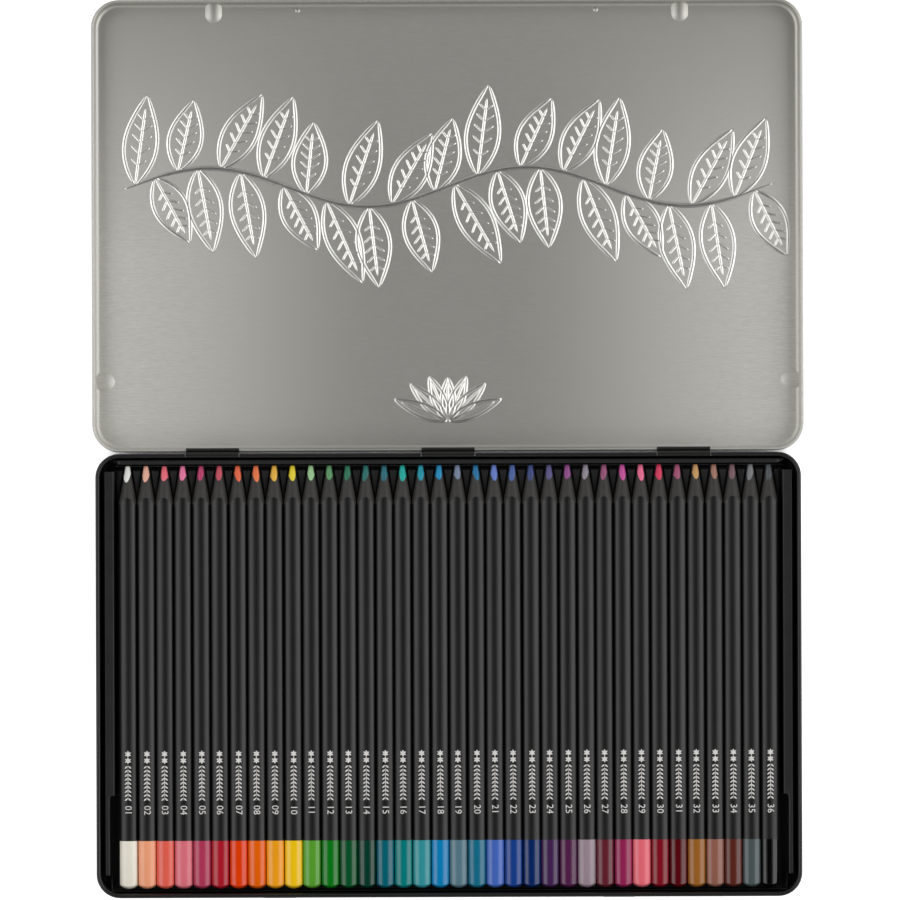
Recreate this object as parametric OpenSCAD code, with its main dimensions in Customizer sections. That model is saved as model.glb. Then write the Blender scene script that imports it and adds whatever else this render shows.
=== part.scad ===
// Hinged sheet-metal tin that holds one layer of triangular coloured pencils in a formed tray.
// Millimetres, +Z up. X runs along the tin, +Y points to the hinge and the opened lid.
// The origin is the middle of the base's underside. The tin is drawn open, its lid laid flat.

/* [Pencils] */
// Number of pencils in the row
pencil_count = 36; // [24:1:36]
// Distance from one pencil's axis to the next
pencil_pitch = 7.5; // [7.45:0.05:8]
// Length of a pencil, lead tip to dipped end
pencil_len = 173.2; // [165:0.1:180]
// Distance from a barrel's axis to the middle of each of its three faces
face_dist = 3.3; // [3:0.05:3.35]
// Distance from a barrel's axis to each rounded corner
corner_dist = 3.85; // [3.75:0.05:3.95]
// Radius of the rounded corners
corner_r = 1.72; // [1.65:0.01:1.8]
// Diameter of the colour lead
lead_d = 3.3; // [2.8:0.1:3.6]
// How far the lead lies above the axis that the point is turned on
lead_rise = 0.45; // [0:0.05:0.5]
// Diameter of the blunt lead tip
tip_d = 1.8; // [1:0.1:2.4]
// How much the sharpened point's radius grows per millimetre
point_taper = 0.185; // [0.16:0.005:0.2]
// Length of the colour dip at the blunt end
dip_len = 19.8; // [10:0.1:30]
// Thickness of the dip's coat on the barrel's sides
dip_coat = 0.08; // [0.05:0.01:0.1]
// Radius of the dip's domed end
dip_dome_r = 5.0; // [4.6:0.1:8]
// Largest turn of a pencil about its own axis, in degrees
roll_max = 3; // [0:0.5:4]

/* [Base tin] */
// Thickness of the sheet metal
sheet = 0.3; // [0.25:0.01:0.35]
// Height of the base, to the top of its rolled rim
base_h = 12.5; // [12:0.1:14]
// Diameter of the rolled rim
rim_d = 1.7; // [1.4:0.1:1.8]
// Outer radius of the base's corners
base_corner_r = 9.7; // [8:0.1:9.8]
// Outer radius of the bend between floor and walls
floor_bend_r = 1.1; // [0.9:0.1:1.2]
// From the rim's outer edge to the first pencil's own space
side_margin = 9.2; // [9:0.1:12]
// From the rear rim's outer edge to the lead tips
tip_margin = 5.0; // [4.8:0.1:6]
// From the front rim's outer edge to the dipped ends
end_margin = 3.4; // [3.3:0.1:6]
// Distance of each snap rib from the tin's middle
snap_x = 69.3; // [40:0.1:90]
// Length of a snap rib as it shows past the rim
snap_w = 14.1; // [10:0.1:20]
// How far a snap rib stands past the rim
snap_past_rim = 0.5; // [0.3:0.05:0.5]

/* [Lid] */
// Height of the closed tin
closed_h = 14.0; // [13.8:0.1:15]
// Diameter of the lid's rolled edge, which is the hinge pin at the rear
lid_bead_d = 1.2; // [1.1:0.1:1.3]
// Gap between the base's rim and the lid's wall at the two ends
lid_side_gap = 0.25; // [0.2:0.05:0.4]
// Gap between the base's rim and the lid's wall at the hinge
lid_rear_gap = 0.6; // [0.6:0.05:0.8]
// Gap between the base's rim and the lid's wall at the front
lid_front_gap = 0.65; // [0.65:0.05:0.9]
// Inner radius of the lid's corners
lid_corner_r = 10.2; // [10:0.1:11]
// Outer radius of the bend between the lid's wall and its panel
lid_bend_r = 2.05; // [1.8:0.05:2.2]
// Width of the stop pads pressed into the lid
pad_w = 7.0; // [5:0.1:9]
// Length of a stop pad from the lid's wall
pad_l = 7.8; // [6:0.1:10]
// Distance of the two front pads from the middle
front_pad_x = 95.7; // [80:0.1:110]
// Distance of the two end pads from the hinge axis
end_pad_from_hinge = 28.4; // [20:0.1:60]
// Distance of each front pip from the middle
pip_x = 61.2; // [40:0.1:80]

/* [Hinge] */
// Width of a hinge tab
tab_w = 21.7; // [15:0.1:25]
// Distance between the tabs' middles
tab_pitch = 96.4; // [80:0.1:98]
// Clearance between the lid's rolled edge and the tab that curls round it
hinge_clear = 0.15; // [0.1:0.01:0.15]
// Width of the slits that part a tab from the rim
slit = 0.25; // [0.2:0.05:0.5]
// Clearance at each end of a tab in the lid's window
window_clear = 0.4; // [0.3:0.1:1]
// Height of the windows in the lid's rear wall
window_h = 3.0; // [2.5:0.1:3.5]

/* [Tray] */
// Thickness of the formed tray
tray_t = 0.4; // [0.3:0.05:0.5]
// From the rim's outer edge to the tray's outer edge at the ends
tray_side = 3.55; // [3:0.05:4]
// From the rear rim's outer edge to the tray's outer edge
tray_rear = 2.53; // [2.4:0.01:3]
// From the front rim's outer edge to the tray's outer edge
tray_front = 2.3; // [2.2:0.05:3]
// Width of the flat flange at each end of the row
flange_w = 3.76; // [3:0.01:4]
// Height of the flanges above the tin's underside
flange_z = 10.0; // [9:0.1:11]
// Height of the pencils' axes above the tin's underside
axis_z = 6.34; // [6:0.01:7]
// Clearance between a barrel and its groove
groove_clear = 0.12; // [0.1:0.01:0.15]
// Depth of the ridges' tops below the pencils' axes
ridge_drop = 1.04; // [1:0.01:1.3]
// Length of the open trough under the dipped ends
trough_len = 39.6; // [30:0.1:50]
// Width of the ridges between the lead tips
ridge_end_w = 3.5; // [2:0.1:3.8]
// Width of the narrow ledges beside the trough
trough_ledge_w = 1.65; // [1.4:0.05:2]

/* [Hidden] */
$fn = 64;
joint_gap = 0.01;          // between a lead, its barrel and its dip
rim_r = rim_d / 2;
bead_r = lid_bead_d / 2;

// Base: outer size over the rim, inner faces of the walls
tin_l = pencil_count * pencil_pitch + 2 * side_margin;
tin_w = pencil_len + tip_margin + end_margin;
wall_r = base_corner_r - rim_d;                 // corner radius of the walls' inner face
wall_in_y = tin_w / 2 - rim_d;                  // inner face of the rear and front walls
rim_z = base_h - rim_r;                         // height of the rolled rim's centre

// Snap ribs: round bars behind the front wall that the sheet is pressed over
snap_r = 3.0;
snap_z = 6.5;
snap_y = -tin_w / 2 - snap_past_rim + snap_r;
snap_slope = 1.2;                               // run of a rib's sloping end

// Hinge axis: the lid's rear edge, half way up the closed tin, so that the lid opens flat
hinge_y = tin_w / 2 + lid_rear_gap + bead_r;
hinge_z = closed_h / 2;
curl_r = bead_r + hinge_clear;                  // inner radius of a hinge curl
riser_y = hinge_y - curl_r - sheet;             // inner face of the sheet between rim and curl

// Lid, as closed: inner faces of its walls
lid_in_l = tin_l + 2 * lid_side_gap;
lid_rear_y = tin_w / 2 + lid_rear_gap;
lid_front_y = -tin_w / 2 - lid_front_gap;
lid_in_w = lid_rear_y - lid_front_y;
lid_mid_y = (lid_rear_y + lid_front_y) / 2;
panel_z = closed_h - sheet;                     // inner face of the lid's panel
pad_depth = panel_z - base_h - 0.05;            // the pads stop just above the rim
pad_r = (pow(pad_w / 2, 2) + pow(pad_depth, 2)) / (2 * pad_depth);
pip_r = 1.5;                                    // the pips are caps of a ball
pip_h = 0.45;

// Pencils
tip_y = tin_w / 2 - tip_margin;
lead_r = lead_d / 2;
corner_at = corner_dist - corner_r;             // centre of a corner's arc, from the axis
face_less_corner = face_dist - corner_r;
// centre of a face's arc, past the axis, where the arc meets both corners' arcs smoothly
face_at = (pow(corner_at, 2) - pow(face_less_corner, 2)) / (2 * face_less_corner - corner_at);
face_r = face_at + face_dist;
dip_end = 2.0;                                  // thickness of the dip over the barrel's end
proud = 0.01;                                   // how far the corners pass the faces' arcs
golden = 137.508;                               // angle that spreads the small differences

// Tray
tray_x = tin_l / 2 - tray_side;
tray_rear_y = tin_w / 2 - tray_rear;
tray_front_y = -tin_w / 2 + tray_front;
well_x = tray_x - flange_w;                     // inner face of the flanges
tray_foot_z = sheet + 0.4;                      // the tray's foot clears the bend round the floor
trough_x = tray_x - 0.9 - trough_ledge_w;       // inner faces of the trough's ledges
ridge_z = axis_z - ridge_drop;
groove_z = axis_z - corner_dist - dip_coat - groove_clear - 0.05;
body_y = tip_y - (face_dist - tip_d / 2) / point_taper;   // where the full barrels begin
trough_y = tray_front_y + trough_len;
ridge_end_y = tip_y - 1.8;                      // the ridges stop short of the lead tips
flange_end_y = tip_y - 2.2;
ledge_in_y = tip_y + 0.6;                       // inner edge of the rear ledge
ledge_x = well_x + 0.4;                         // half length of the rear ledge
flank = 60;                                     // slope of the grooves' sides, in degrees
// half width of a ridge's top: the groove's side passes the barrel's face at its clearance
ridge_w = pencil_pitch / 2
    - (face_dist + dip_coat + groove_clear - ridge_drop / 2) / cos(30);
function flank_x(drop) = ridge_w + drop / tan(flank);
function ridge_x(k) = (k - pencil_count / 2) * pencil_pitch;

function pencil_name(i) = str("pencil_", i < 10 ? "0" : "", i);

SHADES = ["ivory", "sandybrown", "salmon", "palevioletred", "mediumvioletred", "firebrick",
    "orangered", "darkorange", "orange", "gold", "yellowgreen", "forestgreen", "seagreen",
    "darkgreen", "teal", "darkcyan", "cadetblue", "steelblue", "lightslategray", "steelblue",
    "royalblue", "mediumblue", "navy", "indigo", "purple", "thistle", "brown", "mediumvioletred",
    "lightcoral", "crimson", "maroon", "peru", "rosybrown", "saddlebrown", "slategray", "black"];

// ---------------------------------------------------------------- helpers

module rounded_rect(l, w, r) {
    square([l - 2 * r, w], center = true);
    square([l, w - 2 * r], center = true);
    for (x = [-1, 1], y = [-1, 1])
        translate([x * (l / 2 - r), y * (w / 2 - r)]) circle(r);
}

// Carries a wall's cross-section round a rounded rectangle. The section's x is the distance
// from the corner's centre, so the rectangle's corners are r from their centres.
module around(l, w, r) {
    for (s = [0, 1]) mirror([s, 0, 0])
        translate([l / 2 - r, 0, 0])
            rotate([90, 0, 0]) linear_extrude(w - 2 * r, center = true) children();
    for (s = [0, 1]) mirror([0, s, 0])
        translate([0, w / 2 - r, 0])
            rotate([90, 0, 90]) linear_extrude(l - 2 * r, center = true) children();
    for (x = [0, 1], y = [0, 1]) mirror([x, 0, 0]) mirror([0, y, 0])
        translate([l / 2 - r, w / 2 - r, 0]) rotate_extrude(angle = 90) children();
}

module ring(r_out, r_in) {
    difference() {
        circle(r_out);
        circle(r_in);
    }
}

// A quarter of a bent sheet, in the quadrant that sx and sy name
module bend(r_out, sx, sy) {
    intersection() {
        ring(r_out, r_out - sheet);
        translate([sx < 0 ? -r_out : 0, sy < 0 ? -r_out : 0]) square(r_out);
    }
}

// Extrudes a section drawn in y and z along X, from -w/2 to w/2
module along_x(w) {
    rotate([90, 0, 90]) linear_extrude(w, center = true) children();
}

// ---------------------------------------------------------------- base tin

module base_wall_section() {
    translate([wall_r - floor_bend_r + sheet, floor_bend_r]) bend(floor_bend_r, 1, -1);
    translate([wall_r, floor_bend_r]) square([sheet, rim_z - floor_bend_r]);
    translate([wall_r + rim_r, rim_z]) difference() {
        ring(rim_r, rim_r - sheet);
        translate([sheet - rim_r, -rim_r]) square([rim_r / 2 - 0.1, rim_r - 0.25]);
    }
}

// The rim rolls over, drops outside the wall and curls under and round the lid's edge.
module hinge_tab_section() {
    arch_r = (riser_y + sheet - wall_in_y) / 2;
    translate([wall_in_y + arch_r, base_h - arch_r]) intersection() {
        ring(arch_r, arch_r - sheet);
        translate([-arch_r, 0]) square([2 * arch_r, arch_r]);
    }
    translate([riser_y, hinge_z]) square([sheet, base_h - arch_r - hinge_z]);
    translate([hinge_y, hinge_z]) difference() {
        ring(curl_r + sheet, curl_r);
        translate([-curl_r - sheet, 0]) square([sheet + 0.2, curl_r + sheet]);
    }
}

module at_tabs() {
    for (k = [-1:1]) translate([k * tab_pitch, 0, 0]) children();
}

module at_snaps() {
    for (s = [-1, 1]) translate([s * snap_x, snap_y, snap_z]) children();
}

// A bar along X with sloping ends, which a snap rib is pressed over
module snap_form(grow) {
    low = snap_r - snap_past_rim - rim_d;
    half = snap_w / 2;
    rotate([0, 90, 0]) rotate_extrude() polygon([
        [0, -half - snap_slope - grow], [low + grow, -half - snap_slope - grow],
        [snap_r + grow, -half + snap_slope / 2], [snap_r + grow, half - snap_slope / 2],
        [low + grow, half + snap_slope + grow], [0, half + snap_slope + grow]]);
}

// The ribs are hollow behind, like the rest of the sheet.
module snap_ribs() {
    intersection() {
        difference() {
            at_snaps() snap_form(0);
            at_snaps() snap_form(-sheet);
        }
        translate([-tin_l / 2, -wall_in_y - sheet / 2 - 2 * rim_d, 0])
            cube([tin_l, 2 * rim_d, base_h]);
    }
}

module base_tin() {
    floor_r = wall_r - floor_bend_r + sheet;
    inset = base_corner_r - floor_r;
    color("#161616") union() {
        difference() {
            union() {
                around(tin_l, tin_w, base_corner_r) base_wall_section();
                linear_extrude(sheet) rounded_rect(tin_l - 2 * inset, tin_w - 2 * inset, floor_r);
            }
            at_tabs() {
                translate([-tab_w / 2 - slit, wall_in_y + sheet, base_h - 2 * rim_d])
                    cube([tab_w + 2 * slit, 2 * rim_d, 2 * rim_d]);
                translate([-tab_w / 2 - slit, wall_in_y - rim_d, rim_z])
                    cube([tab_w + 2 * slit, 2 * rim_d, 2 * rim_d]);
            }
            at_snaps() snap_form(-sheet);
        }
        at_tabs() along_x(tab_w) hinge_tab_section();
        snap_ribs();
    }
}

// ---------------------------------------------------------------- lid

module lid_wall_section() {
    translate([lid_corner_r, hinge_z]) square([sheet, closed_h - lid_bend_r - hinge_z]);
    translate([lid_corner_r + sheet - lid_bend_r, closed_h - lid_bend_r]) bend(lid_bend_r, 1, 1);
    translate([lid_corner_r + bead_r, hinge_z]) difference() {
        ring(bead_r, bead_r - sheet);
        translate([sheet - bead_r, 0.2]) square([bead_r / 2, bead_r]);
    }
}

// A pad's solid or hollow: a half round bar from the wall with a round end, along +X
module pad_form(r) {
    translate([0, 0, panel_z - pad_depth + pad_r]) {
        rotate([0, 90, 0]) cylinder(h = pad_l - pad_w / 2, r = r);
        translate([pad_l - pad_w / 2, 0, 0]) sphere(r);
    }
}

module at_pads() {
    for (s = [-1, 1]) translate([s * front_pad_x, lid_front_y, 0]) rotate(90) children();
    for (s = [0, 1]) mirror([s, 0, 0])
        translate([-lid_in_l / 2, hinge_y - end_pad_from_hinge, 0]) children();
}

module at_pips() {
    for (s = [-1, 1]) translate([s * pip_x, lid_front_y + 2.85, panel_z - pip_h + pip_r])
        children();
}

module lid_closed() {
    panel_r = lid_corner_r + sheet - lid_bend_r;
    inset = lid_corner_r - panel_r;
    difference() {
        union() {
            translate([0, lid_mid_y, 0]) {
                around(lid_in_l, lid_in_w, lid_corner_r) lid_wall_section();
                translate([0, 0, panel_z]) linear_extrude(sheet)
                    rounded_rect(lid_in_l - 2 * inset, lid_in_w - 2 * inset, panel_r);
            }
            intersection() {
                union() {
                    at_pads() pad_form(pad_r);
                    at_pips() sphere(pip_r);
                }
                translate([0, lid_mid_y, base_h]) linear_extrude(panel_z - base_h + sheet / 2)
                    square([lid_in_l, lid_in_w], center = true);
            }
        }
        at_pads() pad_form(pad_r - sheet);
        difference() {
            at_tabs() translate([-tab_w / 2 - window_clear, lid_rear_y - 1, hinge_z])
                cube([tab_w + 2 * window_clear, 1 + bead_r, window_h]);
            translate([0, hinge_y, hinge_z]) rotate([0, 90, 0])
                cylinder(h = tin_l, r = bead_r, center = true);
        }
    }
}

module lid() {
    color("#b9b6ae") translate([0, hinge_y, hinge_z]) rotate([180, 0, 0])
        translate([0, -hinge_y, -hinge_z]) lid_closed();
}

// ---------------------------------------------------------------- tray

// The grooves' upper line in x and z. Past the first and last ridge the slope runs down to the
// well's side.
function groove_line() =
    let (run = flank_x(ridge_z - groove_z),
        over = well_x - ridge_x(pencil_count),      // from the last ridge's middle to the well's side
        side_z = ridge_z - (over - ridge_w) * tan(flank))
    [for (k = [0:pencil_count]) each [
        k == 0 ? [-well_x, side_z] : [ridge_x(k) - run, groove_z],
        [ridge_x(k) - ridge_w, ridge_z],
        [ridge_x(k) + ridge_w, ridge_z],
        k == pencil_count ? [well_x, side_z] : [ridge_x(k) + run, groove_z]]];

// The grooved sheet's section: the upper line and back along its lower one
module groove_section() {
    slant = tray_t / sin(flank);                // the sheet's width, measured level
    side_low_z = groove_line()[0][1] - slant * tan(flank);
    in_top = flank_x(tray_t) - slant;
    in_foot = flank_x(ridge_z - groove_z + tray_t) - slant;
    lower = [for (k = [pencil_count:-1:0]) each [
        k == pencil_count ? [well_x, side_low_z] : [ridge_x(k) + in_foot, groove_z - tray_t],
        [ridge_x(k) + in_top, ridge_z - tray_t],
        [ridge_x(k) - in_top, ridge_z - tray_t],
        k == 0 ? [-well_x, side_low_z] : [ridge_x(k) - in_foot, groove_z - tray_t]]];
    polygon(concat(groove_line(), lower));
}

// What lies under the grooves' upper line, down to z
module below_grooves(z) {
    polygon(concat(groove_line(), [[well_x, z], [-well_x, z]]));
}

// Plan of the ridges between the points: wedges that widen towards the lead tips
module ridge_wedges(inset) {
    start_y = body_y + tray_t / 2 + inset;      // inside the sheet that closes the ridge's end
    start_w = ridge_w - 0.05 - inset / 4;
    for (k = [0:pencil_count]) translate([ridge_x(k), 0]) polygon([
        [-start_w, start_y], [start_w, start_y],
        [ridge_end_w / 2 - inset, ridge_end_y - inset],
        [-ridge_end_w / 2 + inset, ridge_end_y - inset]]);
}

// A block of thin sheet, open below: x0 to x1, y0 to y1, up to z
module hollow_block(x0, x1, y0, y1, z) {
    difference() {
        translate([x0, y0, tray_foot_z]) cube([x1 - x0, y1 - y0, z - tray_foot_z]);
        translate([x0 + tray_t, y0 + tray_t, 0])
            cube([x1 - x0 - 2 * tray_t, y1 - y0 - 2 * tray_t, z - tray_t]);
    }
}

// Plan of the trough, its front corners cut off. Its front and sides are drawn in by inset.
module trough_plan(inset) {
    x = trough_x + tray_t - inset;
    y = tray_front_y + inset;
    cut = 2 - inset * (2 - sqrt(2));
    back_y = trough_y + tray_t;
    polygon([[-x + cut, y], [x - cut, y], [x, y + cut], [x, back_y], [-x, back_y], [-x, y + cut]]);
}

module insert_tray() {
    color("#1d1e20") union() {
        // grooves, and the sheets that close the ridges' ends
        translate([0, body_y, 0]) rotate([90, 0, 0])
            linear_extrude(body_y - trough_y) groove_section();
        translate([0, trough_y + tray_t, 0]) rotate([90, 0, 0])
            linear_extrude(tray_t) below_grooves(tray_foot_z);
        translate([0, body_y + tray_t, 0]) rotate([90, 0, 0])
            linear_extrude(tray_t) below_grooves(groove_z - tray_t);
        // bed of the points
        difference() {
            union() {
                translate([-well_x, body_y, groove_z - tray_t])
                    cube([2 * well_x, ledge_in_y - body_y + tray_t, tray_t]);
                translate([0, 0, groove_z - tray_t]) linear_extrude(ridge_z - groove_z + tray_t)
                    ridge_wedges(0);
            }
            linear_extrude(ridge_z - tray_t) ridge_wedges(tray_t);
        }
        // flanges at both ends, the ledges beside the trough, the walls at the rear corners
        for (s = [0, 1]) mirror([s, 0, 0]) {
            hollow_block(well_x, tray_x, trough_y, flange_end_y, flange_z);
            hollow_block(trough_x, trough_x + trough_ledge_w,
                tray_front_y + 6.8, trough_y + tray_t, flange_z);
            translate([well_x, flange_end_y - tray_t, tray_foot_z])
                cube([tray_t, ledge_in_y - flange_end_y + 2 * tray_t, ridge_z - tray_foot_z]);
        }
        // rear ledge
        hollow_block(-ledge_x, ledge_x, ledge_in_y, tray_rear_y, flange_z);
        // trough under the dipped ends
        translate([0, 0, tray_foot_z]) {
            linear_extrude(tray_t) trough_plan(0);
            linear_extrude(ridge_z - tray_foot_z) intersection() {
                difference() {
                    trough_plan(0);
                    trough_plan(tray_t);
                }
                translate([-tray_x, tray_front_y]) square([2 * tray_x, 7]);
            }
        }
        for (s = [0, 1]) mirror([s, 0, 0])
            translate([well_x, trough_y, tray_foot_z])
                cube([trough_x + tray_t - well_x, tray_t, ridge_z - tray_foot_z]);
    }
}

// ---------------------------------------------------------------- pencils

// Rounded triangle with slightly domed faces, one face up, made larger all round by grow.
// The corners stand a hair proud of the faces' arcs, so that the arcs cross and don't just touch.
module barrel_section(grow) {
    corner_cut = -face_at / 2 + (corner_at + face_at / 2) * (face_r + grow) / (face_r - corner_r);
    intersection() {
        intersection_for (k = [0:2]) rotate(120 * k) translate([0, -face_at]) circle(face_r + grow);
        rotate(90) circle(2 * corner_cut, $fn = 3);
    }
    for (k = [0:2]) rotate(30 + 120 * k) translate([corner_at, 0]) circle(corner_r + proud + grow);
}

// The space inside the sharpener's cone, from the tip to past the barrel's end
module sharpened() {
    wide = corner_dist + 1;
    chamfer = 0.25;
    rotate_extrude() polygon([[0, 0], [tip_d / 2 - chamfer, 0], [tip_d / 2, chamfer],
        [wide, (wide - tip_d / 2) / point_taper], [wide, pencil_len + 1], [0, pencil_len + 1]]);
}

// A pencil along +Z from its tip, its upper face towards +Y. i sets its small differences.
module pencil_parts(i) {
    lead_x = 0.14 * sin(2 * golden * i);
    lead_y = lead_rise + 0.06 * sin(3 * golden * i);
    barrel_end = pencil_len - dip_end;
    rotate(roll_max * sin(golden * i)) {
        color("#2b2a29") intersection() {
            difference() {
                linear_extrude(barrel_end) barrel_section(0);
                translate([lead_x, lead_y, -1]) cylinder(h = barrel_end + 2, r = lead_r + joint_gap);
            }
            sharpened();
        }
        color(SHADES[i - 1]) {
            intersection() {
                translate([lead_x, lead_y, 0]) cylinder(h = barrel_end, r = lead_r);
                sharpened();
            }
            difference() {
                intersection() {
                    translate([0, 0, pencil_len - dip_len]) linear_extrude(dip_len)
                        barrel_section(dip_coat);
                    union() {
                        translate([0, 0, pencil_len - dip_dome_r]) rotate([90, 0, 0])
                            sphere(dip_dome_r);
                        cylinder(h = pencil_len - dip_dome_r, r = dip_dome_r);
                    }
                }
                linear_extrude(barrel_end + joint_gap) barrel_section(joint_gap);
            }
        }
    }
}

module pencil(i) {
    x = (i - (pencil_count + 1) / 2) * pencil_pitch;
    translate([x, tip_y, axis_z]) rotate([90, 0, 0]) pencil_parts(i);
}

base_tin();
lid();
insert_tray();
for (i = [1:pencil_count]) pencil(i);
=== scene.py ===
"""A hinged tin of triangular coloured pencils, open, with its lid laid flat.

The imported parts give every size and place. This file adds what they leave out: the finishes, the
formed tray's soft edges, the sharpened pencils with their leads and dips, the foil marks and the
sprays of leaves pressed into the lid. Lengths are worked out in millimetres and set in metres.
"""

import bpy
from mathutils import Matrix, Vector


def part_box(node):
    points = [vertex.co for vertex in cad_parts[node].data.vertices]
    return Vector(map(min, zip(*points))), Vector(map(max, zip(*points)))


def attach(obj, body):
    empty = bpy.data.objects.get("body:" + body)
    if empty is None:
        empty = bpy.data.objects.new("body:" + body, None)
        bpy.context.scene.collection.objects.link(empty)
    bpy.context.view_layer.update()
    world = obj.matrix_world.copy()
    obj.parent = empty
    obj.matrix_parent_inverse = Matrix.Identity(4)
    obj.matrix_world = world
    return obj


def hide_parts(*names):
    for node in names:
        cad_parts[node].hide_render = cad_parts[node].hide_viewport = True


bl_info = {
    "name": "Coloured Pencil Tin",
    "version": (1, 0, 0),
    "blender": (4, 5, 0),
    "location": "3D View > Sidebar > Pencil Tin",
    "description": "Builds and finishes a hinged tin with a row of triangular coloured pencils",
    "category": "Add Mesh",
}

from math import atan, cos, pi, radians, sin, sqrt
from types import SimpleNamespace

import bmesh
import bpy
import numpy as np
from bpy.props import FloatProperty, FloatVectorProperty, IntProperty, PointerProperty

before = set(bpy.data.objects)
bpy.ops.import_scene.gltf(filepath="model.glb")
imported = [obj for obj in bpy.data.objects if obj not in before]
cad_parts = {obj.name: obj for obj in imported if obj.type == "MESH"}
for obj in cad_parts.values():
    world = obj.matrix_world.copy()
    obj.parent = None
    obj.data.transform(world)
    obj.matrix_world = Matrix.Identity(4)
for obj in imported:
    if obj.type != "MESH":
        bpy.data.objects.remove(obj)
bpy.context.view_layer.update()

MM = 0.001
GOLDEN = 137.508  # angle that spreads the pencils' small differences

# Places and turns, in millimetres and radians
AXIS_Z = 6.34  # height of a pencil's axis above the tin's underside
BORE_GAP = 0.01  # between a lead and the wood around it
BORE_END = 9.0  # from the lead's tip to the bore's end
DIP_WALL = 2.0  # from the wood's end to the dip's end
FOIL_START = 116.4  # from the lead's tip to the foil marks
RIM_Z = 12.5  # top of the tin's rim
VIEW_X, VIEW_Y, VIEW_TURN = 0.8, 91.95, radians(-0.2)  # the camera's place and turn

BARREL_ANGLES = np.linspace(0, 2 * pi, 72, endpoint=False) + 0.011

# One line for each pencil, left to right: material slot, colour of the dip, colour of the lead
SHADES = [
    ("ivory", "#ede7d8", "#f3f3ed"),
    ("peach", "#f3a47d", "#f3b7a0"),
    ("coral", "#e66253", "#f36e7e"),
    ("rose_pink", "#dc707d", "#f37baa"),
    ("magenta", "#b23859", "#c0396c"),
    ("dark_red", "#b11a2c", "#cf5062"),
    ("scarlet", "#e63f04", "#f36a42"),
    ("orange", "#e86304", "#f37b46"),
    ("amber", "#f3a118", "#f3ba3f"),
    ("yellow", "#f3c513", "#f3db2d"),
    ("leaf_green", "#58a12e", "#a2d399"),
    ("grass_green", "#077a16", "#5e9f67"),
    ("fir_green", "#07552b", "#257756"),
    ("dark_green", "#043c2c", "#1b726b"),
    ("teal_blue", "#046272", "#166c7b"),
    ("turquoise", "#047d7e", "#04b2a5"),
    ("sea_blue", "#33939c", "#059aad"),
    ("sky_blue", "#0781bb", "#058fc3"),
    ("blue_grey", "#597b89", "#7a8aa4"),
    ("petrol", "#146e8c", "#0b72a4"),
    ("periwinkle", "#4468bd", "#6682d0"),
    ("royal_blue", "#18408e", "#4965a8"),
    ("navy", "#072764", "#374781"),
    ("violet", "#452354", "#5a558a"),
    ("aubergine", "#54204c", "#954a8f"),
    ("mauve_grey", "#9b8892", "#998e9e"),
    ("plum", "#65212e", "#9f537c"),
    ("fuchsia", "#962355", "#ce4ea1"),
    ("salmon_pink", "#e86b79", "#f36f99"),
    ("crimson", "#830f21", "#e03660"),
    ("maroon", "#5a0710", "#a85074"),
    ("ochre", "#9d6326", "#d09f64"),
    ("rosewood", "#925f50", "#a87867"),
    ("chestnut", "#5c271e", "#7c5c64"),
    ("slate", "#4c5759", "#7f8082"),
    ("black", "#060607", "#4e5458"),
]


# -------- settings


def length(name, description, default_mm):
    """A length property, given in millimetres and kept in metres."""
    return FloatProperty(
        name=name, description=description, default=default_mm * MM, unit="LENGTH", precision=5
    )


class PencilSettings(bpy.types.PropertyGroup):
    count: IntProperty(name="Pencils", description="Pencils in the row", default=36, min=1)
    pitch: length("Pitch", "Distance from one pencil's axis to the next", 7.5)
    length: length("Length", "From the lead's tip to the dipped end", 173.2)
    face_dist: length("Face", "From the axis to the middle of a face", 3.3)
    corner_dist: length("Corner", "From the axis to a rounded corner", 3.85)
    corner_r: length("Corner radius", "Radius of the rounded corners", 1.72)
    lead_r: length("Lead radius", "Radius of the colour lead", 1.5)
    lead_rise: length("Lead rise", "How far the lead lies above the point's axis", 0.4)
    tip_r: length("Tip radius", "Radius of the blunt lead tip", 0.8)
    taper: FloatProperty(
        name="Taper", description="Growth of the point's radius along its length", default=0.193
    )
    dip_len: length("Dip", "Length of the colour dip at the blunt end", 19.8)
    dip_coat: length("Dip coat", "Thickness of the dip on the barrel", 0.08)
    dome_r: length("Dome radius", "Radius of the dip's rounded end", 5.0)
    roll: FloatProperty(
        name="Roll",
        description="Largest turn of a pencil about its own axis",
        default=radians(3),
        subtype="ANGLE",
    )


class TraySettings(bpy.types.PropertyGroup):
    # heights are above the tin's underside
    sheet: length("Sheet", "Thickness of the formed plastic", 0.4)
    ridge_z: length("Ridge height", "Top of the ridges", 5.3)
    groove_z: length("Groove height", "Floor of the grooves", 2.24)
    foot_z: length("Foot height", "Lower edge of the tray", 0.7)
    ridge_w: length("Ridge half width", "Half the width of a ridge's top", 0.309)
    ridge_end_w: length("Ridge end", "Half the width of a ridge between the points", 1.75)
    flange_z: length("Flange height", "Top of the flanges", 10.0)
    edge_r: length("Edge radius", "Radius of the formed outer edges", 0.35)


class LidSettings(bpy.types.PropertyGroup):
    panel_z: length("Panel", "Height of the open lid's inner face", 0.3)
    relief: length("Relief", "Height of the pressed leaves", 0.24)
    line_w: length("Line width", "Width of the pressed lines", 1.8)


class StageSettings(bpy.types.PropertyGroup):
    camera_height: length("Camera height", "Camera above the tin's rim", 2400)
    view_width: length("View width", "What the picture spans at the rim", 367.65)
    soft_box: FloatProperty(name="Soft boxes", description="Their radiance", default=1.8)
    daylight: FloatProperty(name="Fill", description="Strength of the even fill light", default=0.5)
    floor: FloatVectorProperty(
        name="Floor", description="Colour of the floor", default=(0.8, 0.8, 0.8), subtype="COLOR"
    )


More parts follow.
